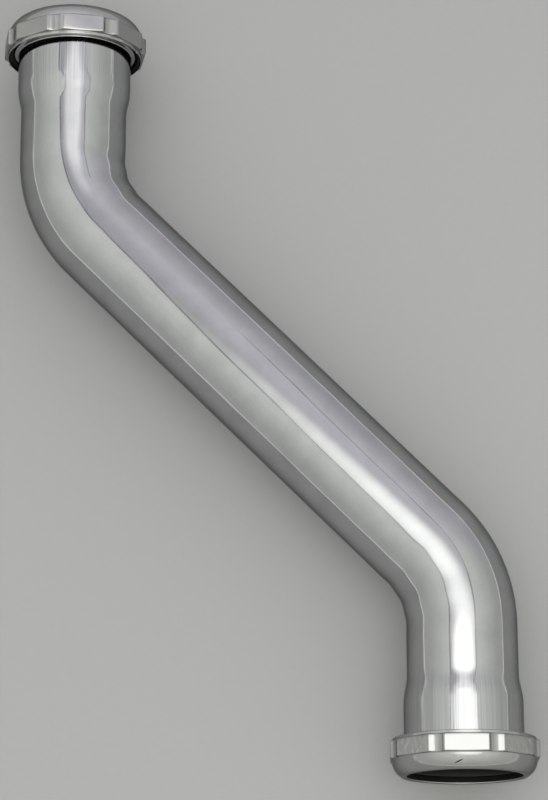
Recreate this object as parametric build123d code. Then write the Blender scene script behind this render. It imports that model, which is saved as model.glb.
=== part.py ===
"""Offset tube with a slip joint at each end, for a basin or sink drain.

The tube lies flat on a bench, carried by its two slip nuts. +Y runs along the two parallel legs,
+X runs across the offset from the upper leg to the lower one, and +Z points up. The origin is on the
bench, under the middle of the diagonal. All sizes are millimetres and degrees.
"""
from build123d import *
import math
import os

# The drawn tube and its two equal bends
tube_diameter = 38.1        # outside, the common 1 1/2 in drain size
tube_wall = 1.14            # 17 gauge brass
bend_angle = 45.0           # from each leg to the diagonal
bend_radius = 41.0          # of the centreline
leg_offset = 136.8          # between the axes of the two legs
overall_length = 274.0      # between the outer faces of the two nuts

# The belled end of each leg, listed from its mouth inwards
mouth_length = 5.0
flare_length = 2.2          # from the threaded mouth in to the socket
flare_rise = 1.7            # of the thread's root above the socket, on the radius
socket_clearance = 0.2      # around a tube pushed into the socket, on the radius
socket_length = 16.0
stop_length = 3.6           # taper down to the tube, which stops a pushed-in tube
form_radius = 2.5           # of the rounded corners, at the middle of the wall

# The washer that each nut presses on the mouth
washer_thickness = 2.8
washer_grip = 0.15          # around the pushed-in tube before it is squeezed, on the radius
washer_clearance = 0.35     # inside the nut, on the radius

# The slip nut
thread_clearance = 0.25     # between the crest of its thread and the root of the mouth's, on the radius
lip_thickness = 2.4
lip_hole_clearance = 0.5    # around the pushed-in tube, on the radius
lip_face_width = 1.85
shoulder_wall = 2.25        # outside the crest of the thread, as are the two walls below
shoulder_round = 6.2
shoulder_height = 5.4       # from the outer face to the grip ring
grip_wall = 2.75            # at the middle of a flat
grip_height = 6.1
flat_count = 8
flute_width = 5.9
flute_depth = 0.9           # below the line between two flats
collar_wall = 2.05
collar_height = 1.1
collar_bevel = 0.3
upper_nut_turn = 13.5       # where the upper nut stopped when tightened

# Sizes that follow
tube_radius = tube_diameter / 2
socket_bore_radius = tube_radius + socket_clearance
socket_radius = socket_bore_radius + tube_wall
mouth_radius = socket_radius + flare_rise
nut_bore_radius = mouth_radius + thread_clearance
nut_height = shoulder_height + grip_height + collar_height
flat_distance = nut_bore_radius + grip_wall
flat_pitch = 360 / flat_count
half_pitch = math.radians(flat_pitch / 2)
corner_angle = math.degrees(
    math.atan(math.tan(half_pitch) - flute_width / (2 * flat_distance * math.cos(half_pitch)))
)
corner_radius = flat_distance / math.cos(math.radians(corner_angle))


def reach_below(nut_turn):
    """How far a nut reaches below its axis when it is turned by nut_turn from flat side down."""
    off_corner = abs((nut_turn + flat_pitch / 2) % flat_pitch - flat_pitch / 2)
    return corner_radius * math.cos(math.radians(corner_angle - off_corner))


axis_height = max(reach_below(0), reach_below(upper_nut_turn))

# Each end is drawn in a frame of its own: Z points out of the mouth, from the nut's outer face.
upper_end = Pos(-leg_offset / 2, overall_length / 2, axis_height) * Rot(-90, 0, 0)
lower_end = Rot(0, 0, 180) * upper_end

# Heights in that frame, from the mouth inwards
rim_z = -lip_thickness - washer_thickness
flare_z = rim_z - mouth_length
socket_z = flare_z - flare_length
stop_z = socket_z - socket_length
leg_z = stop_z - stop_length


def ring(profile):
    """A solid of revolution about Z from a closed outline of (radius, height)."""
    return revolve(Plane.XZ * make_face(profile), axis=Axis.Z)


def belled_end():
    """The socket and mouth of one leg: one wall of even thickness, with rounded corners."""
    outer = [
        (mouth_radius, rim_z),
        (mouth_radius, flare_z),
        (socket_radius, socket_z),
        (socket_radius, stop_z),
        (tube_radius, leg_z),
        (tube_radius, leg_z - form_radius),
    ]
    # The inside of a taper lies nearer the mouth by this much, so that the wall keeps its thickness.
    flare_slope = math.atan2(mouth_radius - socket_radius, flare_length)
    stop_slope = math.atan2(socket_radius - tube_radius, stop_length)
    lags = [0, flare_slope, flare_slope, stop_slope, stop_slope, 0]
    inner = [
        (radius - tube_wall, height + tube_wall * math.tan(slope / 2))
        for (radius, height), slope in zip(outer, lags)
    ]
    large = form_radius + tube_wall / 2
    small = form_radius - tube_wall / 2
    outside = FilletPolyline(*outer, radius=[large, small, large, small])
    inside = FilletPolyline(*inner, radius=[small, large, small, large])
    rim = Line(outer[0], inner[0])
    joint = Line(outer[-1], inner[-1])
    return ring(outside + inside + rim + joint)


def offset_tube():
    """The bent tube with a belled end on each leg."""
    half = leg_offset / 2
    corner_y = half / math.tan(math.radians(bend_angle))
    leg_y = overall_length / 2 + leg_z - form_radius
    route = Pos(0, 0, axis_height) * FilletPolyline(
        (-half, leg_y), (-half, corner_y), (half, -corner_y), (half, -leg_y), radius=bend_radius
    )
    section = Circle(tube_radius) - Circle(tube_radius - tube_wall)
    body = sweep(Plane(origin=route @ 0, z_dir=route % 0) * section, path=route)
    end = belled_end()
    return body + upper_end * end + lower_end * end


def washer():
    """The square-cut rubber washer between a nut's lip and the rim of the mouth."""
    outside = Cylinder(nut_bore_radius - washer_clearance, washer_thickness)
    hole = Cylinder(tube_radius + washer_grip, washer_thickness)
    return Pos(0, 0, rim_z + washer_thickness / 2) * (outside - hole)


def grip_outline():
    """Flats with a shallow round flute between each two of them."""
    flute_radius = corner_radius * math.cos(math.radians(flat_pitch / 2 - corner_angle)) - flute_depth

    def point(radius, angle):
        return (radius * math.cos(math.radians(angle)), radius * math.sin(math.radians(angle)))

    edges = Curve()
    for number in range(flat_count):
        middle = -90 + number * flat_pitch
        start = point(corner_radius, middle - corner_angle)
        end = point(corner_radius, middle + corner_angle)
        bottom = point(flute_radius, middle + flat_pitch / 2)
        next_start = point(corner_radius, middle + flat_pitch - corner_angle)
        edges += Line(start, end)
        edges += ThreePointArc(end, bottom, next_start)
    return make_face(edges)


def slip_nut():
    """A cast nut: a round shoulder with a lip, a ring of flats and flutes, and a collar."""
    grip_z = -shoulder_height
    collar_z = grip_z - grip_height
    hole_radius = tube_radius + lip_hole_clearance
    shoulder_radius = nut_bore_radius + shoulder_wall
    collar_radius = nut_bore_radius + collar_wall
    lip_edge = (hole_radius + lip_face_width, 0)
    shoulder_edge = (shoulder_radius, grip_z)
    shoulder = RadiusArc(lip_edge, shoulder_edge, shoulder_round)
    sides = Polyline(
        lip_edge,
        (hole_radius, 0),
        (hole_radius, -lip_thickness),
        (nut_bore_radius, -lip_thickness),
        (nut_bore_radius, -nut_height),
        (collar_radius - collar_bevel, -nut_height),
        (collar_radius, -nut_height + collar_bevel),
        (collar_radius, collar_z),
        (shoulder_radius, collar_z),
        shoulder_edge,
    )
    grip = Pos(0, 0, collar_z) * extrude(grip_outline() - Circle(nut_bore_radius), grip_height)
    return ring(shoulder + sides) + grip


pieces = {
    "offset_tube": offset_tube(),
    "upper_washer": upper_end * washer(),
    "lower_washer": lower_end * washer(),
    "upper_slip_nut": upper_end * Rot(0, 0, upper_nut_turn) * slip_nut(),
    "lower_slip_nut": lower_end * slip_nut(),
}

os.makedirs("parts", exist_ok=True)
for name, piece in pieces.items():
    export_step(piece, f"parts/{name}.step")
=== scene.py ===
# %% [markdown]
# # A chromed offset tube with a slip joint at each end
#
# The object is one brass tube, drawn, bent twice and plated, with a nut and a rubber washer at each
# mouth. Every piece here is a surface of two parameters: how far along a profile, and how far round.
# numpy works the points out as whole arrays, and a short function hands them to Blender.
# The CAD model is loaded first. It stays fixed, gives the places, and carries the motion.

import math

import bpy
import numpy as np
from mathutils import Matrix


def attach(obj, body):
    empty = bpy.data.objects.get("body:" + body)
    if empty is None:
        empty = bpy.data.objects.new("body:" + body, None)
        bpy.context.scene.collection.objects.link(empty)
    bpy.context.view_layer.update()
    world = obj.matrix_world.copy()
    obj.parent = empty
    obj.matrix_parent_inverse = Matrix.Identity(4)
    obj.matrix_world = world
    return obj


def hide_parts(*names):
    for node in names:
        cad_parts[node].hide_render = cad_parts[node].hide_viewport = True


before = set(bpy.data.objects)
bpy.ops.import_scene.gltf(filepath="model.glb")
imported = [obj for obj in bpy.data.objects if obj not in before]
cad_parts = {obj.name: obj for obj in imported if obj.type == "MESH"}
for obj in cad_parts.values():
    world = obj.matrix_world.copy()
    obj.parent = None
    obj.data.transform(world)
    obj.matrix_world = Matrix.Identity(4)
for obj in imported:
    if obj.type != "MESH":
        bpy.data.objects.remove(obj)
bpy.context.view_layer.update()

# %% [markdown]
# ## From a grid of points to a mesh
#
# A tube wall, a nut and a washer are all rings: their profile closes on itself, and so does the turn
# round the axis. One grid that wraps both ways makes each of them with no seam, pole or open edge.
# The UV map is written for each corner of a face, so the last column can end at a full turn while its
# points are shared with the first. Both of its numbers are metres on the surface.

# %% Grid to mesh
MM = 0.001


def ring_mesh(name, points, across, along, inside=None):
    """Join a grid of points that wraps both ways into four-sided faces.

    Face (i, j) joins point (i, j) to its neighbours in the next row and the next column. The enclosed
    volume is a sixth of the sum of a . (b x c) over the triangles; where it comes out negative the faces
    point inwards, so every face is listed the other way round. Rows marked as inside take the second
    material of the piece.
    """
    rows, columns = points.shape[:2]
    row, column = np.meshgrid(np.arange(rows), np.arange(columns), indexing="ij")
    step_row = np.array([0, 0, 1, 1])
    step_column = np.array([0, 1, 1, 0])
    corner_row = row[..., None] + step_row
    corner_column = column[..., None] + step_column
    index = corner_row % rows * columns + corner_column % columns
    uv = np.stack([across[corner_column], along[corner_row]], axis=-1)
    faces = index.reshape(-1, 4)
    uv = uv.reshape(-1, 4, 2)
    flat = points.reshape(-1, 3)
    a, b, c, d = (flat[faces[:, k]] for k in range(4))
    volume = (np.cross(b, c) * a + np.cross(c, d) * a).sum() / 6
    if volume < 0:
        faces = faces[:, ::-1]
        uv = uv[:, ::-1]
    mesh = bpy.data.meshes.new(name)
    mesh.vertices.add(len(flat))
    mesh.vertices.foreach_set("co", flat.ravel())
    mesh.loops.add(faces.size)
    mesh.loops.foreach_set("vertex_index", faces.ravel())
    mesh.polygons.add(len(faces))
    mesh.polygons.foreach_set("loop_start", np.arange(0, faces.size, 4))
    if inside is not None:
        mesh.polygons.foreach_set("material_index", np.repeat(inside.astype(np.int32), columns))
    layer = mesh.uv_layers.new(name="surface")
    layer.uv.foreach_set("vector", uv.ravel())
    mesh.update(calc_edges=True)
    mesh.shade_smooth()
    piece = bpy.data.objects.new(name, mesh)
    bpy.context.scene.collection.objects.link(piece)
    print(f"{name}: {rows} x {columns} points, {abs(volume) * 1e6:.1f} cm3 enclosed")
    return piece


# %% [markdown]
# ## Rounded profiles
#
# Pressed and cast metal has no sharp corner, and chrome shows each corner as a thin bright line. A
# profile is written as a few points with a radius at each corner, as on a drawing, and the corners
# become arcs. A Bevel modifier could do that later, but arcs in the profile keep exact sizes.

# %% Rounded profiles


def rounded(corners, radii, steps=7):
    """A line through the corners, each inner one swapped for an arc.

    At a corner that turns by angle a, an arc of radius r starts r tan(a / 2) before the corner. Its point
    at the share f of the turn is r sin(f a) along the way in and r (1 - cos(f a)) to the side of the turn.
    """
    corners = np.array(corners, dtype=float)
    radii = np.array(radii, dtype=float)[:, None, None]
    ways = np.diff(corners, axis=0)
    ways /= np.linalg.norm(ways, axis=1, keepdims=True)
    before = ways[:-1]
    after = ways[1:]
    side = np.stack([-before[:, 1], before[:, 0]], axis=1)
    turn = np.arctan2((side * after).sum(1), (before * after).sum(1))
    side = side * np.sign(turn)[:, None]
    turn = np.abs(turn)[:, None, None]
    start = corners[1:-1, None] - radii * np.tan(turn / 2) * before[:, None]
    angle = turn * np.linspace(0, 1, steps)[None, :, None]
    arcs = start + radii * (np.sin(angle) * before[:, None] + (1 - np.cos(angle)) * side[:, None])
    return np.concatenate([corners[:1], arcs.reshape(-1, 2), corners[-1:]])


def filled_in(line, spacing):
    """The line with points added evenly on each run, so that no step is longer than its spacing."""
    lengths = np.linalg.norm(np.diff(line, axis=0), axis=1)
    counts = np.maximum(1, np.ceil(lengths / spacing)).astype(int)
    run = np.repeat(np.arange(len(counts)), counts)
    first = np.repeat(np.cumsum(counts) - counts, counts)
    share = (np.arange(len(run)) - first) / counts[run]
    points = line[run] + share[:, None] * (line[run + 1] - line[run])
    return np.concatenate([points, line[-1:]])


def length_along(line):
    """The length walked along a closed line up to each of its points, and round to the first again."""
    steps = np.linalg.norm(np.diff(np.concatenate([line, line[:1]]), axis=0), axis=1)
    return np.concatenate([[0], np.cumsum(steps)])


tried = rounded([(0, 0), (10, 0), (10, 10)], [3.0])
print("a 3 mm arc on a square corner at (10, 0) runs from", tried[1].round(2), "to", tried[-2].round(2))


# %% [markdown]
# ## The wall of the tube
#
# The real tube is drawn brass. Each end is belled out into a socket for the next tube, and its mouth is
# pressed out again, with a steep shoulder, to a ring that is threaded for the nut. The wall's profile goes
# up the inside of the upper end, over the rim, down the outside, and back at the lower end. It is written
# against the distance along the middle of the tube, from the outer face of the upper nut, and the distance
# from that middle line.

# %% Wall of the tube
tube_radius = 19.05
socket_radius = 20.39
mouth_radius = 22.09
tube_wall = 1.14
leg_offset = 136.8
overall_length = 274.0
bend_radius = 41.0
bend_turn = math.radians(45)
axis_height = 26.077

corner_gap = bend_radius * math.tan(bend_turn / 2)
leg_run = overall_length / 2 - leg_offset / 2 / math.tan(bend_turn) - corner_gap
bend_run = bend_radius * bend_turn
diagonal_run = leg_offset / math.sin(bend_turn) - 2 * corner_gap
whole_run = 2 * leg_run + 2 * bend_run + diagonal_run

tube_bore = tube_radius - tube_wall
socket_bore = socket_radius - tube_wall
mouth_bore = mouth_radius - tube_wall
rim_at = 5.2
bell_end = 38.0
inside_end = [
    (bell_end, tube_bore),
    (32.44, tube_bore),
    (27.84, socket_bore),
    (11.21, socket_bore),
    (9.01, mouth_bore),
    (rim_at, mouth_bore),
]
outside_end = [
    (rim_at, mouth_radius),
    (11.4, mouth_radius),
    (11.7, socket_radius),
    (26.4, socket_radius),
    (32.8, tube_radius),
    (bell_end, tube_radius),
]
inside_rounds = [7.57, 6.43, 3.07, 1.93, 0.25]
outside_rounds = [0.35, 0.45, 0.5, 20.0, 18.0]
end_line = rounded(inside_end + outside_end, inside_rounds + outside_rounds)

# Rows stand close together on the threaded ring and further apart elsewhere
thread_rows = 0.18
bell_rows = 2.0
middle_rows = 1.7
first_middle = 39.6
on_ring = end_line[:, 1] > mouth_radius - 0.19
end_line = filled_in(end_line, np.where(on_ring[:-1] & on_ring[1:], thread_rows, bell_rows))
middle = np.arange(first_middle, whole_run - first_middle, middle_rows)
wall_line = np.concatenate(
    [
        end_line,
        np.stack([middle, np.full_like(middle, tube_radius)], axis=1),
        (end_line * [-1, 1] + [whole_run, 0])[::-1],
        np.stack([middle[::-2], np.full_like(middle[::-2], tube_radius - tube_wall)], axis=1),
    ]
)
rim_middle = (mouth_radius + mouth_bore) / 2
end_inside = np.arange(len(end_line)) < np.argmax(end_line[:, 1] > rim_middle)
wall_inside = np.concatenate(
    [end_inside, np.zeros(len(middle), bool), end_inside[::-1], np.ones(len(middle[::-2]), bool)]
)
print(f"middle line {whole_run:.1f} mm long, wall drawn with {len(wall_line)} points")

# %% [markdown]
# ## The route of the tube
#
# The two legs are parallel and the diagonal joins them through two equal bends. The heading rises from
# nothing to 45 degrees in the first bend and falls back in the second, so the place along the route is
# the sum of two straight runs, two arcs and the diagonal, each clipped to its own length. A curve
# object with a bevel could carry a round section too, but not a wall, a bell and a thread.

# %% Route of the tube


def route(distance):
    """Place and side direction at each distance along the middle line, in millimetres.

    Each run is the distance clipped to its length. A straight run adds its length times the heading; a
    bend of radius R from heading p to q adds R (cos p - cos q) across and R (sin q - sin p) along.
    """
    edges = np.cumsum([0, leg_run, bend_run, diagonal_run, bend_run])
    first_leg = np.minimum(distance, leg_run)
    turned_in = np.clip(distance - edges[1], 0, bend_run) / bend_radius
    diagonal = np.clip(distance - edges[2], 0, diagonal_run)
    turned_out = np.clip(distance - edges[3], 0, bend_run) / bend_radius
    last_leg = np.maximum(distance - edges[4], 0)
    left = bend_turn - turned_out
    x = bend_radius * (1 - np.cos(turned_in)) + diagonal * math.sin(bend_turn)
    x = x + bend_radius * (np.cos(left) - math.cos(bend_turn)) - leg_offset / 2
    y = first_leg + bend_radius * np.sin(turned_in) + diagonal * math.cos(bend_turn)
    y = y + bend_radius * (math.sin(bend_turn) - np.sin(left)) + last_leg
    heading = turned_in - turned_out
    place = np.stack([x, overall_length / 2 - y, np.full_like(x, axis_height)], axis=-1)
    side = np.stack([np.cos(heading), np.sin(heading), np.zeros_like(x)], axis=-1)
    return place, side


print("half way along, the route is at", route(np.array([whole_run / 2]))[0][0].round(2), "mm")


# %% [markdown]
# ## Threads
#
# The mouth carries a rolled thread of 11.5 turns to the inch, the usual pitch for this size, and the nut
# has the same thread inside. A thread is a wave in the radius whose phase counts turns: one pitch
# outwards is one full turn. Tube and nut use the same wave, so they stay in step as the nut unscrews.

# %% Threads
thread_pitch = 25.4 / 11.5
thread_depth = 1.0


def thread_wave(turn, outwards):
    """Height of the thread, from 0 at its root to 1 at its crest: half of 1 + cos of the phase.

    The phase is 2 pi outwards / pitch less the turn round the outward axis, which makes it right-handed.
    """
    return 0.5 + 0.5 * np.cos(2 * math.pi * outwards / thread_pitch - turn)


def fade(value, start, end):
    """Rise smoothly from 0 at start to 1 at end, or fall where end is lower: 3 f^2 - 2 f^3."""
    share = np.clip((value - start) / (end - start), 0, 1)
    return share * share * (3 - 2 * share)


print(f"thread pitch {thread_pitch:.3f} mm, {thread_depth:.1f} mm deep")


# %% [markdown]
# ## The swept wall
#
# The profile is carried along the route: at each of its points a ring stands square to the middle line,
# with the radius that the profile gives. The thread is added on the mouths. Bending leaves low ripples on
# the inner side of each bend, where the metal is squeezed, and chrome shows them, so they are part of the
# shape: a cosine of 15 mm wavelength that fades out away from the bend and away from its inner side.

# %% Sweep the wall along the route
ripple_height = 0.14
ripple_length = 15.0
ripple_full = 6.0
ripple_gone = 30.0
thread_start = (5.3, 6.6)
thread_end = (9.3, 8.3)
tube_columns = 144
around = np.linspace(0, 2 * math.pi, tube_columns, endpoint=False) - math.pi / 2
distance = wall_line[:, 0, None]
from_end = np.minimum(distance, whole_run - distance)
turn_at_end = np.where(distance < whole_run / 2, -around, around + math.pi)
outside_mouth = wall_line[:, 1, None] > rim_middle
on_thread = fade(from_end, *thread_start) * fade(from_end, *thread_end) * outside_mouth
radius = wall_line[:, 1, None] + on_thread * thread_depth * thread_wave(turn_at_end, -from_end)
inner_side = np.where(distance < whole_run / 2, np.cos(around), -np.cos(around))
bend_middle = leg_run + bend_run / 2
near_bend = fade(np.abs(from_end - bend_middle), ripple_gone, ripple_full)
ripple = np.cos(2 * math.pi * from_end / ripple_length)
radius = radius + ripple_height * near_bend * fade(inner_side, -0.2, 1.0) * ripple
place, side = route(wall_line[:, 0])
upright = np.array([0.0, 0.0, 1.0])
wall_points = place[:, None] + radius[..., None] * (
    np.cos(around)[:, None] * side[:, None] + np.sin(around)[:, None] * upright
)
tube_turns = np.linspace(0, 2 * math.pi * tube_radius, tube_columns + 1)
tube_walk = length_along(wall_line) * MM
tube = ring_mesh("drawn_tube", wall_points * MM, tube_turns * MM, tube_walk, wall_inside)

# %% [markdown]
# ## The grip of the nut
#
# The nut is a die casting. Eight flats take a wrench, and a shallow round flute between each two gives
# fingers a hold. The outline is a radius for each angle: a straight line inside a flat, a circle inside
# a flute. Averaging it over a small angle rounds the corners, as the plating and polishing do.

# %% Outline of the grip
flat_count = 8
flat_distance = 25.09
flute_width = 5.4
flute_depth = 1.0
flat_pitch = 2 * math.pi / flat_count


def sharp_grip(angle):
    """Radius of the grip with sharp corners.

    A flat at distance F from the axis has radius F / cos d at an angle d from its middle. A flute is part
    of a circle of radius q about a point c from the axis: c cos e - sqrt(q^2 - (c sin e)^2) at an angle e
    from its middle. The flat ends where half a flute's width is left.
    """
    half = flat_pitch / 2
    corner = math.atan(math.tan(half) - flute_width / (2 * flat_distance * math.cos(half)))
    corner_radius = flat_distance / math.cos(corner)
    line = corner_radius * math.cos(half - corner)
    bottom = line - flute_depth
    reach = corner_radius * math.sin(half - corner)
    centre = (line**2 + reach**2 - bottom**2) / (2 * (line - bottom))
    flute_radius = centre - bottom
    off_flat = np.abs((angle + half) % flat_pitch - half)
    off_flute = half - off_flat
    flute = centre * np.cos(off_flute) - np.sqrt(
        np.maximum(flute_radius**2 - (centre * np.sin(off_flute)) ** 2, 0)
    )
    return np.where(off_flat < corner, flat_distance / np.cos(off_flat), flute)


def grip_radius(angle):
    """The same radius averaged over about one degree with weights that fall away like a cosine bell."""
    offsets = np.radians(np.linspace(-0.8, 0.8, 17))
    weights = 1 + np.cos(np.linspace(-math.pi, math.pi, 17))
    return (sharp_grip(angle[:, None] + offsets) * weights).sum(1) / weights.sum()


# Columns stand close together round the corners, 14.6 to 17.4 degrees off the middle of a flat
edges = np.array([-22.5, -17.4, -14.6, 14.6, 17.4, 22.5])
column_gap = np.array([0.85, 0.35, 2.44, 0.35, 0.85])
flat_steps = filled_in(np.stack([edges, np.zeros(6)], axis=1), column_gap)[:-1, 0]
flat_middles = np.arange(flat_count)[:, None] * 360.0 / flat_count - 90
nut_angles = np.radians((flat_middles + flat_steps).ravel())
grip_reach = grip_radius(nut_angles)
print(f"grip from {grip_reach.min():.2f} to {grip_reach.max():.2f} mm from the axis")

# %% [markdown]
# ## The body of the nut
#
# From its outer face the nut has a flat lip, a round shoulder, the grip, and a thin collar. Inside are
# the seat of the washer and the thread. The profile is a plain turned shape with a nominal grip radius.
# Rows that lie on the grip then move out or in to the outline, and rows in the bore take the thread.
# Its height is counted outwards from the outer face, so all of it is negative.

# %% Profile of the nut
nut_bore = 22.34
lip_hole = 19.55
ledge_radius = 24.58
collar_radius = 24.39
grip_nominal = 25.6
seat_at = -2.4
grip_from = -5.4
grip_to = -11.5
nut_end = -12.6
nut_rows = 1.2

shoulder_round = 6.2
shoulder_centre = np.array([18.39, -5.42])
shoulder_angle = np.radians(np.linspace(61.0, 0.2, 14))
shoulder_way = np.stack([np.cos(shoulder_angle), np.sin(shoulder_angle)], axis=1)
shoulder = shoulder_centre + shoulder_round * shoulder_way
lip = rounded([(lip_hole, -1.0), (lip_hole, 0), (21.0, 0), (21.4, -0.01)], [0.35, 0.4])
grip_top = [(ledge_radius, grip_from), (grip_nominal, grip_from)]
grip_foot = [(grip_nominal, grip_to), (collar_radius, grip_to)]
collar = [(collar_radius, nut_end), (23.75, nut_end)]
grip = rounded(grip_top + grip_foot + collar, [0.4, 0.7, 0.15, 0.3])
outside = np.concatenate([lip[1:-1], shoulder, filled_in(grip, nut_rows)[1:]])
lead_in = [(23.65, nut_end), (23.45, nut_end), (23.45, -12.3), (nut_bore, -11.6)]
seat = [(nut_bore, seat_at), (lip_hole, seat_at), (lip_hole, -1.2)]
bore = rounded(lead_in + seat, [0.1, 0.1, 0.2, 0.3, 0.3])
past_seat = bore[:, 1] < seat_at - 0.1
bore = filled_in(bore, np.where(past_seat[:-1] & past_seat[1:], thread_rows, nut_rows))[1:]
nut_line = np.concatenate([outside, bore])
in_bore = np.arange(len(nut_line)) >= len(outside)
print(f"nut drawn with {len(nut_line)} points, {in_bore.sum()} of them inside")

# %% [markdown]
# ## Two nuts from one profile
#
# Both nuts are the same casting, turned by hand to different angles, so one function makes both. The
# points are worked out in the frame of an end, with the third axis pointing out of the tube, and then
# placed. Building at the origin and rotating the object would do too, but its place has to be in the mesh.

# %% Turn the nuts
upper_turn = math.radians(11.5)
lower_turn = math.radians(1.5)
groove_start = (-4.2, -5.0)


def nut_points(turned):
    """Points of a nut in the frame of its own end, with its grip turned by an angle.

    On the grip the radius goes from the ledge r0 to the outline g in the same share as the plain profile
    goes from r0 to its nominal radius n: r + (g - n) (r - r0) / (n - r0). In the bore the thread's wave
    cuts a groove that fades out at the washer's seat. The thread doesn't turn with the grip.
    """
    plain = nut_line[:, 0, None]
    outwards = nut_line[:, 1, None]
    ledge = np.where(outwards > (grip_from + grip_to) / 2, ledge_radius, collar_radius)
    on_grip = ~in_bore[:, None] & (outwards < grip_from + 0.1) & (outwards > grip_to - 0.1)
    share = np.where(on_grip, np.clip((plain - ledge) / (grip_nominal - ledge), 0, 1), 0)
    grip_out = plain + share * (grip_radius(nut_angles - turned) - grip_nominal)
    groove = in_bore[:, None] * fade(outwards, *groove_start) * thread_depth
    radius = grip_out + groove * thread_wave(nut_angles, outwards)
    x = radius * np.cos(nut_angles)
    y = radius * np.sin(nut_angles)
    return np.stack([x, y, np.broadcast_to(outwards, radius.shape)], axis=-1)


def at_end(points, way):
    """Move points from the frame of an end to the object's: way is 1 at the upper end, -1 at the lower.

    Outwards becomes +Y or -Y, the first axis becomes +X or -X, and the second points down.
    """
    x, y, z = np.moveaxis(points, -1, 0)
    placed = [way * (x - leg_offset / 2), way * (z + overall_length / 2), axis_height - y]
    return np.stack(placed, axis=-1) * MM


nut_turns = np.append(nut_angles, nut_angles[0] + 2 * math.pi) * flat_distance * MM
nut_walk = length_along(nut_line) * MM
upper_nut = ring_mesh("upper_nut", at_end(nut_points(upper_turn), 1), nut_turns, nut_walk, in_bore)
lower_nut = ring_mesh("lower_nut", at_end(nut_points(lower_turn), -1), nut_turns, nut_walk, in_bore)

# %% [markdown]
# ## The washers
#
# A square-cut rubber ring sits under each lip and seals on the tube that is pushed in. It is a plain
# turned profile with rounded edges, and its sides bulge a little because the nut presses on it.

# %% Turn the washers
washer_hole = 19.2
washer_edge = 21.99
washer_middle = 20.6
washer_foot = -5.2
washer_level = (seat_at + washer_foot) / 2
washer_half = (seat_at - washer_foot) / 2
washer_bulge = 0.12
washer_columns = 128
washer_corners = [
    (washer_hole, washer_level),
    (washer_hole, seat_at),
    (washer_edge, seat_at),
    (washer_edge, washer_foot),
    (washer_hole, washer_foot),
    (washer_hole, washer_level - 0.1),
]
washer_line = filled_in(rounded(washer_corners, [0.3, 0.3, 0.3, 0.3]), 0.35)
middle_share = 1 - ((washer_line[:, 1] - washer_level) / washer_half) ** 2
washer_line[:, 0] += washer_bulge * middle_share * np.sign(washer_line[:, 0] - washer_middle)
washer_angles = np.linspace(0, 2 * math.pi, washer_columns, endpoint=False)
washer_points = np.stack(
    [
        washer_line[:, 0, None] * np.cos(washer_angles),
        washer_line[:, 0, None] * np.sin(washer_angles),
        np.broadcast_to(washer_line[:, 1, None], (len(washer_line), washer_columns)),
    ],
    axis=-1,
)
washer_turns = np.linspace(0, 2 * math.pi, washer_columns + 1) * washer_middle * MM
washer_walk = length_along(washer_line) * MM
upper_washer = ring_mesh("upper_rubber_ring", at_end(washer_points, 1), washer_turns, washer_walk)
lower_washer = ring_mesh("lower_rubber_ring", at_end(washer_points, -1), washer_turns, washer_walk)

# %% [markdown]
# ## Colours and nodes
#
# Colours are written as the hex values that a screen shows and turned to the linear values that light
# adds up in. One helper adds a node: a socket given another node's output is linked, any other value is
# set on the socket itself.

# %% Colours and nodes


def linear(code):
    """Linear colour of a hex value: a channel up to 0.04045 is divided by 12.92, the rest follow a power."""
    channel = np.array([int(code[k : k + 2], 16) for k in (1, 3, 5)]) / 255
    curved = np.where(channel < 0.04045, channel / 12.92, ((channel + 0.055) / 1.055) ** 2.4)
    return (*curved.tolist(), 1.0)


def add(tree, kind, settings=None, **sockets):
    """Add a node, set its properties, then link or set each socket named; i0, i1 and so on go by index."""
    node = tree.nodes.new(kind)
    for name, value in (settings or {}).items():
        setattr(node, name, value)
    for name, value in sockets.items():
        key = int(name[1:]) if name[1:].isdigit() else name.replace("_", " ")
        if isinstance(value, bpy.types.NodeSocket):
            tree.links.new(value, node.inputs[key])
        else:
            node.inputs[key].default_value = value
    return node


def new_material(name):
    """An empty node material."""
    material = bpy.data.materials.new(name)
    material.use_nodes = True
    material.node_tree.nodes.clear()
    return material, material.node_tree


print("a grey of 128 on the screen is", round(linear("#808080")[0], 3), "in linear light")


# %% [markdown]
# ## Chrome on drawn brass
#
# The tube is polished brass under nickel and a thin coat of chromium: a neutral, slightly cool mirror.
# What makes it look like tube and not like glass is small. The polish leaves a haze that comes and goes,
# the drawn wall is never quite straight, and the dies that belled the sockets leave fine lines along
# them. The lines follow the wall, so they read the UV map; the rest reads Object coordinates.

# %% Chrome on drawn brass
# Chromium is a grey mirror: it gives back a little under half of the light, sharply. The specular tint keeps
# it grey at grazing angles too.
chrome_tube, tree = new_material("chromium_plate_on_drawn_brass")
place_on = add(tree, "ShaderNodeTexCoord")
haze = add(tree, "ShaderNodeTexNoise", Vector=place_on.outputs["Object"], Scale=1 / (9 * MM), Detail=4.0)
# Swells of the drawn wall, about 30 mm apart and up to a tenth of a millimetre high
waves = add(tree, "ShaderNodeTexNoise", Vector=place_on.outputs["Object"], Scale=1 / (30 * MM), Detail=1.0)
swell = add(tree, "ShaderNodeBump", Strength=1.0, Distance=0.25 * MM, Height=waves.outputs["Fac"])

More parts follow.
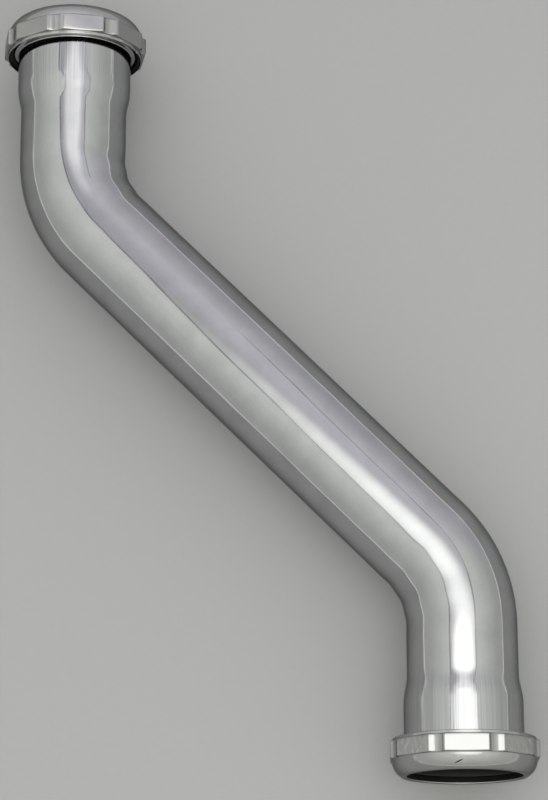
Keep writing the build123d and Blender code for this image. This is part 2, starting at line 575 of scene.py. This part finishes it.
# Die lines: about 0.8 mm apart round the wall, coarser than the real ones so that they show, 60 mm long
stretched = add(
    tree, "ShaderNodeMapping", Vector=place_on.outputs["UV"], Scale=(1 / (0.8 * MM), 1 / (60 * MM), 1.0)
)
flat_noise = {"noise_dimensions": "2D"}
lines = add(tree, "ShaderNodeTexNoise", flat_noise, Vector=stretched.outputs[0], Scale=1.0, Detail=2.0)
apart = add(tree, "ShaderNodeSeparateXYZ", Vector=place_on.outputs["Object"])
from_middle = add(tree, "ShaderNodeMath", {"operation": "ABSOLUTE"}, i0=apart.outputs["Y"])
on_socket = add(
    tree,
    "ShaderNodeMapRange",
    Value=from_middle.outputs[0],
    From_Min=103 * MM,
    From_Max=109 * MM,
    To_Min=0.15,
    To_Max=1.0,
)
streaks = add(
    tree,
    "ShaderNodeMix",
    {"data_type": "FLOAT"},
    Factor=on_socket.outputs[0],
    A=haze.outputs["Fac"],
    B=lines.outputs["Fac"],
)
shade = add(
    tree,
    "ShaderNodeMix",
    {"data_type": "RGBA"},
    Factor=streaks.outputs[0],
    A=linear("#a0a2a4"),
    B=linear("#bbbcbd"),
)
polish = add(
    tree, "ShaderNodeMapRange", Value=streaks.outputs[0], From_Min=0.3, From_Max=0.7, To_Min=0.05, To_Max=0.1
)
scored = add(
    tree,
    "ShaderNodeBump",
    Strength=on_socket.outputs[0],
    Distance=0.035 * MM,
    Height=lines.outputs["Fac"],
    Normal=swell.outputs["Normal"],
)
chrome = add(
    tree,
    "ShaderNodeBsdfPrincipled",
    Base_Color=shade.outputs["Result"],
    Metallic=1.0,
    Specular_Tint=linear("#a8a8a8"),
    Roughness=polish.outputs["Result"],
    Normal=scored.outputs["Normal"],
)
add(tree, "ShaderNodeOutputMaterial", Surface=chrome.outputs["BSDF"])
tube.data.materials.append(chrome_tube)
print("outside of the tube:", chrome_tube.name)

# %% [markdown]
# ## Inside the tube
#
# Plating hardly reaches inside a long tube. The brass there keeps the dark film of oxide that it got when
# it was annealed for bending, so a mouth looks almost black, with a warm edge where light grazes it.

# %% Dark brass inside the tube
# Oxide film on brass: dull, brown and mottled, with a little of the metal's shine.
bore_brass, tree = new_material("oxidised_brass")
place_on = add(tree, "ShaderNodeTexCoord")
film = add(tree, "ShaderNodeTexNoise", Vector=place_on.outputs["Object"], Scale=1 / (5 * MM), Detail=5.0)
shade = add(
    tree,
    "ShaderNodeMix",
    {"data_type": "RGBA"},
    Factor=film.outputs["Fac"],
    A=linear("#1a140e"),
    B=linear("#3a2c1a"),
)
dull = add(
    tree, "ShaderNodeMapRange", Value=film.outputs["Fac"], From_Min=0.3, From_Max=0.7, To_Min=0.6, To_Max=0.4
)
scale_bump = add(tree, "ShaderNodeBump", Strength=0.5, Distance=0.05 * MM, Height=film.outputs["Fac"])
brass = add(
    tree,
    "ShaderNodeBsdfPrincipled",
    Base_Color=shade.outputs["Result"],
    Metallic=0.8,
    Roughness=dull.outputs["Result"],
    Normal=scale_bump.outputs["Normal"],
)
add(tree, "ShaderNodeOutputMaterial", Surface=brass.outputs["BSDF"])
tube.data.materials.append(bore_brass)
print("inside of the tube:", bore_brass.name)

# %% [markdown]
# ## Chrome on the castings
#
# The nuts are zinc die castings. Plating follows the skin of the casting, so their mirror is broken up:
# the flats look mottled and soft where the tube is sharp. The lower nut has one short nick on its
# shoulder. Its mask is the distance from a point, stretched along the nick by a Mapping node.

# %% Chrome on the castings
# The same chromium on a skin like orange peel, about 2 mm from dimple to dimple: soft, mottled reflections.
chrome_cast, tree = new_material("chromium_plate_on_zinc_casting")
place_on = add(tree, "ShaderNodeTexCoord")
peel = add(tree, "ShaderNodeTexNoise", Vector=place_on.outputs["Object"], Scale=1 / (2.0 * MM), Detail=3.0)
clouds = add(tree, "ShaderNodeTexNoise", Vector=place_on.outputs["Object"], Scale=1 / (7 * MM), Detail=3.0)
shade = add(
    tree,
    "ShaderNodeMix",
    {"data_type": "RGBA"},
    Factor=clouds.outputs["Fac"],
    A=linear("#a4a5a6"),
    B=linear("#b6b6b4"),
)
polish = add(
    tree,
    "ShaderNodeMapRange",
    Value=clouds.outputs["Fac"],
    From_Min=0.3,
    From_Max=0.7,
    To_Min=0.12,
    To_Max=0.22,
)
nick_place = add(
    tree,
    "ShaderNodeMapping",
    {"vector_type": "TEXTURE"},
    Vector=place_on.outputs["Object"],
    Location=(65.1 * MM, -134.8 * MM, 49.5 * MM),
    Rotation=(0, math.radians(-20), math.radians(23)),
    Scale=(1.8 * MM, 0.22 * MM, 1.0 * MM),
)
nick_far = add(tree, "ShaderNodeVectorMath", {"operation": "LENGTH"}, i0=nick_place.outputs[0])
nick = add(tree, "ShaderNodeMapRange", Value=nick_far.outputs["Value"], From_Min=1.1, From_Max=0.6)
marked = add(
    tree,
    "ShaderNodeMix",
    {"data_type": "RGBA"},
    Factor=nick.outputs[0],
    A=shade.outputs["Result"],
    B=linear("#1e1d1c"),
)
dimple = add(tree, "ShaderNodeBump", Strength=1.0, Distance=0.04 * MM, Height=peel.outputs["Fac"])
chrome = add(
    tree,
    "ShaderNodeBsdfPrincipled",
    Base_Color=marked.outputs["Result"],
    Metallic=1.0,
    Specular_Tint=linear("#a8a8a8"),
    Roughness=polish.outputs["Result"],
    Normal=dimple.outputs["Normal"],
)
add(tree, "ShaderNodeOutputMaterial", Surface=chrome.outputs["BSDF"])
upper_nut.data.materials.append(chrome_cast)
lower_nut.data.materials.append(chrome_cast)
print("outside of the nuts:", chrome_cast.name)

# %% [markdown]
# ## Inside the nuts
#
# A thread is cut or cast to fit, so it gets little plating. Bare zinc turns dull and grey, and its colour
# here is made near black as painted shade of the narrow gap between nut and tube. So the gap reads as a dark
# line, which is what makes the nut look like a separate piece.

# %% Bare zinc in the bores, with painted gap shade
# Inside the thread the casting is bare zinc, dull grey; its near-black colours are painted shade of the gap
# between nut and tube.
zinc_and_painted_gap_shade, tree = new_material("bare_zinc_with_painted_gap_shade")
place_on = add(tree, "ShaderNodeTexCoord")
film = add(tree, "ShaderNodeTexNoise", Vector=place_on.outputs["Object"], Scale=1 / (1.5 * MM), Detail=4.0)
# Both colours are darker than bare zinc: painted shade of the narrow gap between nut and tube.
shade = add(
    tree,
    "ShaderNodeMix",
    {"data_type": "RGBA"},
    Factor=film.outputs["Fac"],
    A=linear("#111112"),
    B=linear("#212120"),
)
sand = add(tree, "ShaderNodeBump", Strength=0.6, Distance=0.05 * MM, Height=film.outputs["Fac"])
zinc = add(
    tree,
    "ShaderNodeBsdfPrincipled",
    Base_Color=shade.outputs["Result"],
    Metallic=0.7,
    Roughness=0.55,
    Normal=sand.outputs["Normal"],
)
add(tree, "ShaderNodeOutputMaterial", Surface=zinc.outputs["BSDF"])
upper_nut.data.materials.append(zinc_and_painted_gap_shade)
lower_nut.data.materials.append(zinc_and_painted_gap_shade)
print("inside of the nuts:", zinc_and_painted_gap_shade.name)

# %% [markdown]
# ## Black rubber
#
# The washers are moulded rubber filled with carbon black. It gives back little light and no clear
# reflection; a fine grain from the mould keeps it from looking like a hole.

# %% Black rubber
# Carbon-filled rubber: almost black and matt, with a faint grey sheen at grazing angles.
rubber, tree = new_material("black_moulded_rubber")
place_on = add(tree, "ShaderNodeTexCoord")
grain = add(tree, "ShaderNodeTexNoise", Vector=place_on.outputs["Object"], Scale=1 / (0.6 * MM), Detail=3.0)
shade = add(
    tree,
    "ShaderNodeMix",
    {"data_type": "RGBA"},
    Factor=grain.outputs["Fac"],
    A=linear("#0a0a0a"),
    B=linear("#141413"),
)
pores = add(tree, "ShaderNodeBump", Strength=0.6, Distance=0.03 * MM, Height=grain.outputs["Fac"])
matt = add(
    tree,
    "ShaderNodeBsdfPrincipled",
    Base_Color=shade.outputs["Result"],
    Roughness=0.62,
    IOR=1.52,
    Normal=pores.outputs["Normal"],
)
add(tree, "ShaderNodeOutputMaterial", Surface=matt.outputs["BSDF"])
upper_washer.data.materials.append(rubber)
lower_washer.data.materials.append(rubber)
print("washers:", rubber.name)

# %% [markdown]
# ## Bodies, nodes and slots
#
# Each piece rides on the CAD body that moves it and stands for the CAD solid of the same shape, which is
# hidden. The table also lists a slot for each piece's finish, which nothing here reads.

# %% Bodies, nodes and slots
for piece, body, node, slot in (
    (tube, "tube", "offset_tube", "plated_tube"),
    (upper_nut, "upper_nut_body", "upper_slip_nut", "plated_nut"),
    (lower_nut, "lower_nut_body", "lower_slip_nut", "plated_nut"),
    (upper_washer, "upper_washer_body", "upper_washer", "washer_rubber"),
    (lower_washer, "lower_washer_body", "lower_washer", "washer_rubber"),
):
    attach(piece, body)
    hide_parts(node)
    print(piece.name, "rides on", body)

# %% [markdown]
# ## The floor
#
# The tube lies on a sheet of pale grey paper. A mirror shows its surroundings, so the sides of the tube
# are the floor seen in chrome: a white floor would give it white edges and no outline. The sheet runs far
# out, so that its edge is low on the horizon of every reflection.

# %% Floor
floor_half = 8.0
floor_corners = np.array([(-1, -1, 0), (1, -1, 0), (1, 1, 0), (-1, 1, 0)]) * floor_half
floor_mesh = bpy.data.meshes.new("paper_floor")
floor_mesh.from_pydata(floor_corners.tolist(), [], [(0, 1, 2, 3)])
floor = bpy.data.objects.new("paper_floor", floor_mesh)
bpy.context.scene.collection.objects.link(floor)
# Uncoated paper: matt, even and pale, with a faint flock of fibres about 3 mm across.
paper, tree = new_material("pale_grey_paper")
place_on = add(tree, "ShaderNodeTexCoord")
fibres = add(tree, "ShaderNodeTexNoise", Vector=place_on.outputs["Object"], Scale=1 / (3 * MM), Detail=2.0)
shade = add(
    tree,
    "ShaderNodeMix",
    {"data_type": "RGBA"},
    Factor=fibres.outputs["Fac"],
    A=linear("#adadad"),
    B=linear("#b0b0b0"),
)
matt = add(tree, "ShaderNodeBsdfPrincipled", Base_Color=shade.outputs["Result"], Roughness=0.9)
add(tree, "ShaderNodeOutputMaterial", Surface=matt.outputs["BSDF"])
floor.data.materials.append(paper)
print("floor:", paper.name)

# %% [markdown]
# ## The light tent
#
# Chrome is photographed in a tent of white cloth with lamps outside it, so that the mirror shows only soft
# light. The walls are far enough to be the world: their level changes with height, with a thin lighter
# line where they meet the floor, and the back wall is a little cooler. Generated is the direction there.

# %% Walls of the tent
world = bpy.data.worlds.new("tent_walls")
bpy.context.scene.world = world
world.use_nodes = True
tree = world.node_tree
tree.nodes.clear()
soft = {"interpolation_type": "SMOOTHSTEP"}
direction = add(tree, "ShaderNodeTexCoord")
way = add(tree, "ShaderNodeSeparateXYZ", Vector=direction.outputs["Generated"])
walls = add(tree, "ShaderNodeValToRGB", Fac=way.outputs["Z"])
horizon_level = 1.15
wall_levels = ((0.025, horizon_level), (0.05, 0.66), (0.3, 0.7), (0.6, 0.88), (0.88, 1.12))
for position, level in wall_levels:
    walls.color_ramp.elements.new(position).color = (level, level, level, 1)
walls.color_ramp.elements[0].color = (horizon_level, horizon_level, horizon_level, 1)
walls.color_ramp.elements[-1].color = (horizon_level, horizon_level, horizon_level, 1)
to_back = add(tree, "ShaderNodeMapRange", soft, Value=way.outputs["Y"], From_Min=0.4, From_Max=0.62)
cloth = add(
    tree,
    "ShaderNodeMix",
    {"data_type": "RGBA"},
    Factor=to_back.outputs[0],
    A=linear("#fdfef8"),
    B=linear("#faf8fd"),
)
tent = add(tree, "ShaderNodeBackground", Color=cloth.outputs["Result"], Strength=walls.outputs["Color"])
add(tree, "ShaderNodeOutputWorld", Surface=tent.outputs["Background"])
print("walls:", len(tree.nodes), "nodes")

# %% [markdown]
# ## The roof of the tent
#
# The roof hangs half a metre above the tube, so each part of the tube sees another part of it. That can't
# be painted on the world, which is the same from everywhere; it is a sheet of lit cloth, cut wider and
# narrower along its length. The camera looks through it.

# %% Roof of the tent
roof_height = 495.0
roof_y = np.array([-330.0, -120.0, -60.0, 0.0, 100.0, 170.0, 240.0, 300.0, 410.0])
roof_left = np.array([-110.0, -135.0, -165.0, -192.0, -182.0, -195.0, -230.0, -272.0, -300.0])
roof_right = np.array([285.0, 285.0, 285.0, 285.0, 285.0, 280.0, 240.0, 210.0, 190.0])
roof_x = np.stack([roof_left, roof_right], axis=1)
roof_points = np.stack(
    [roof_x, np.repeat(roof_y[:, None], 2, axis=1), np.full_like(roof_x, roof_height)], axis=-1
)
roof_row = 2 * np.arange(len(roof_y) - 1)
roof_faces = np.stack([roof_row, roof_row + 2, roof_row + 3, roof_row + 1], axis=1)
roof_mesh = bpy.data.meshes.new("tent_roof")
roof_mesh.from_pydata((roof_points.reshape(-1, 3) * MM).tolist(), [], roof_faces.tolist())
roof_corner = roof_faces.ravel()
roof_uv = roof_mesh.uv_layers.new(name="roof")
roof_corner_uv = np.stack([roof_corner % 2, roof_corner // 2], axis=-1)
roof_uv.uv.foreach_set("vector", roof_corner_uv.astype(np.float32).ravel())
roof = bpy.data.objects.new("tent_roof", roof_mesh)
bpy.context.scene.collection.objects.link(roof)
roof.visible_camera = False
print("roof:", len(roof_mesh.polygons), "panels of cloth")

# %% [markdown]
# ## Light through the roof
#
# A lamp behind the near half of the cloth makes the bright streak on the lower leg fade up the diagonal, and
# the dark seams at its sides draw the two thin lines along the tube. An area light would do for the
# streak alone; an emitting cloth can also carry the seams and the change of tint.

# %% Light through the roof
# White cloth with lamps behind it: bright and soft, and darker where it is sewn.
roof_cloth, tree = new_material("lit_white_cloth")
spot_middle = (75 * MM, -100 * MM, roof_height * MM)
spot_reach = (350 * MM, 240 * MM, 1.0)
place_on = add(tree, "ShaderNodeTexCoord")
spot = add(
    tree,
    "ShaderNodeMapping",
    {"vector_type": "TEXTURE"},
    Vector=place_on.outputs["Object"],
    Location=spot_middle,
    Scale=spot_reach,
)
spot_far = add(tree, "ShaderNodeVectorMath", {"operation": "LENGTH"}, i0=spot.outputs[0])
lamp = add(
    tree, "ShaderNodeMapRange", soft, Value=spot_far.outputs["Value"], From_Min=1.0, From_Max=0.3, To_Max=1.3
)
on_roof = add(tree, "ShaderNodeSeparateXYZ", Vector=place_on.outputs["Object"])
towards_right = add(
    tree,
    "ShaderNodeMapRange",
    soft,
    Value=on_roof.outputs["X"],
    From_Min=-150 * MM,
    From_Max=80 * MM,
    To_Min=0.8,
    To_Max=1.06,
)
level = add(tree, "ShaderNodeMath", {"operation": "ADD"}, i0=lamp.outputs[0], i1=towards_right.outputs[0])
on_cloth = add(tree, "ShaderNodeSeparateXYZ", Vector=place_on.outputs["UV"])
off_middle = add(tree, "ShaderNodeMath", {"operation": "SUBTRACT"}, i0=on_cloth.outputs["X"], i1=0.5)
to_seam = add(tree, "ShaderNodeMath", {"operation": "ABSOLUTE"}, i0=off_middle.outputs[0])
seam = add(
    tree,
    "ShaderNodeMapRange",
    soft,
    Value=to_seam.outputs[0],
    From_Min=0.445,
    From_Max=0.485,
    To_Min=1.0,
    To_Max=0.4,
)
level = add(tree, "ShaderNodeMath", {"operation": "MULTIPLY"}, i0=level.outputs[0], i1=seam.outputs[0])
towards_back = add(
    tree, "ShaderNodeMapRange", soft, Value=on_roof.outputs["Y"], From_Min=20 * MM, From_Max=160 * MM
)
tint = add(
    tree,
    "ShaderNodeMix",
    {"data_type": "RGBA"},
    Factor=towards_back.outputs[0],
    A=linear("#fffffb"),
    B=linear("#f6f3fa"),
)
shine = add(tree, "ShaderNodeEmission", Color=tint.outputs["Result"], Strength=level.outputs[0])
add(tree, "ShaderNodeOutputMaterial", Surface=shine.outputs[0])
roof_mesh.materials.append(roof_cloth)
print("roof cloth:", roof_cloth.name)

# %% [markdown]
# ## Two low lamps
#
# The upper leg has a bright streak of its own that stops in the bend. Roof light would run on along the
# diagonal, because both see the same part of the roof; only something near sees one and not the other. So
# a small soft lamp hangs low over the upper end, and another over the lower leg lights the step of the
# socket there. Each is a clear sheet that adds its own glow to the roof seen through it, by its own UV map:
# most in the middle and nothing at the rim.

# %% Low lamps
lamp_middles = np.array([(-64.0, 116.0, 85.0), (66.5, -91.0, 85.0)])
lamp_reaches = np.array([(21.0, 37.0, 0.0), (24.0, 16.0, 0.0)])
square = np.array([(-1, -1, 0), (-1, 1, 0), (1, 1, 0), (1, -1, 0)])
lamp_points = (lamp_middles[:, None] + lamp_reaches[:, None] * square) * MM
lamp_mesh = bpy.data.meshes.new("low_lamps")
lamp_mesh.from_pydata(lamp_points.reshape(-1, 3).tolist(), [], np.arange(8).reshape(2, 4).tolist())
lamp_uv = lamp_mesh.uv_layers.new(name="lamp")
lamp_uv.uv.foreach_set("vector", np.tile(square[:, :2], (2, 1)).astype(np.float32).ravel())
low_lamps = bpy.data.objects.new("low_lamps", lamp_mesh)
bpy.context.scene.collection.objects.link(low_lamps)
low_lamps.visible_camera = False
# Clear glass with a glow of its own: it brightens what is seen through it and hides nothing.
glow, tree = new_material("glowing_lamp_glass")
place_on = add(tree, "ShaderNodeTexCoord")
off_middle = add(tree, "ShaderNodeVectorMath", {"operation": "LENGTH"}, i0=place_on.outputs["UV"])
lit = add(
    tree,
    "ShaderNodeMapRange",
    soft,
    Value=off_middle.outputs["Value"],
    From_Min=1.0,
    From_Max=0.45,
    To_Max=0.78,
)
clear = add(tree, "ShaderNodeBsdfTransparent")
white = add(tree, "ShaderNodeEmission", Color=linear("#fffff5"), Strength=lit.outputs[0])
both = add(tree, "ShaderNodeAddShader", i0=clear.outputs[0], i1=white.outputs[0])
add(tree, "ShaderNodeOutputMaterial", Surface=both.outputs[0])
lamp_mesh.materials.append(glow)
print("low lamps:", len(lamp_mesh.polygons), "at", lamp_middles[:, 2], "mm above the floor")

# %% [markdown]
# ## The camera
#
# The photograph was taken from almost straight above, a little from the lower end, with a long lens. Place,
# turn and focal length were solved from the outline of the tube and the edges of both nuts. The sensor is
# fitted by its height, because the picture is upright.

# %% Camera
lens = bpy.data.cameras.new("camera")
lens.sensor_fit = "VERTICAL"
lens.sensor_height = 36.0
lens.lens = 112.4
camera = bpy.data.objects.new("camera", lens)
camera.location = (0.01871, -0.24259, 0.87039)
camera.rotation_euler = tuple(math.radians(a) for a in (15.7149, 0.9968, -0.0586))
bpy.context.scene.collection.objects.link(camera)
bpy.context.scene.camera = camera
bpy.context.scene.view_settings.view_transform = "Standard"
print("camera:", lens.lens, "mm lens at", [round(v, 3) for v in camera.location], "m")
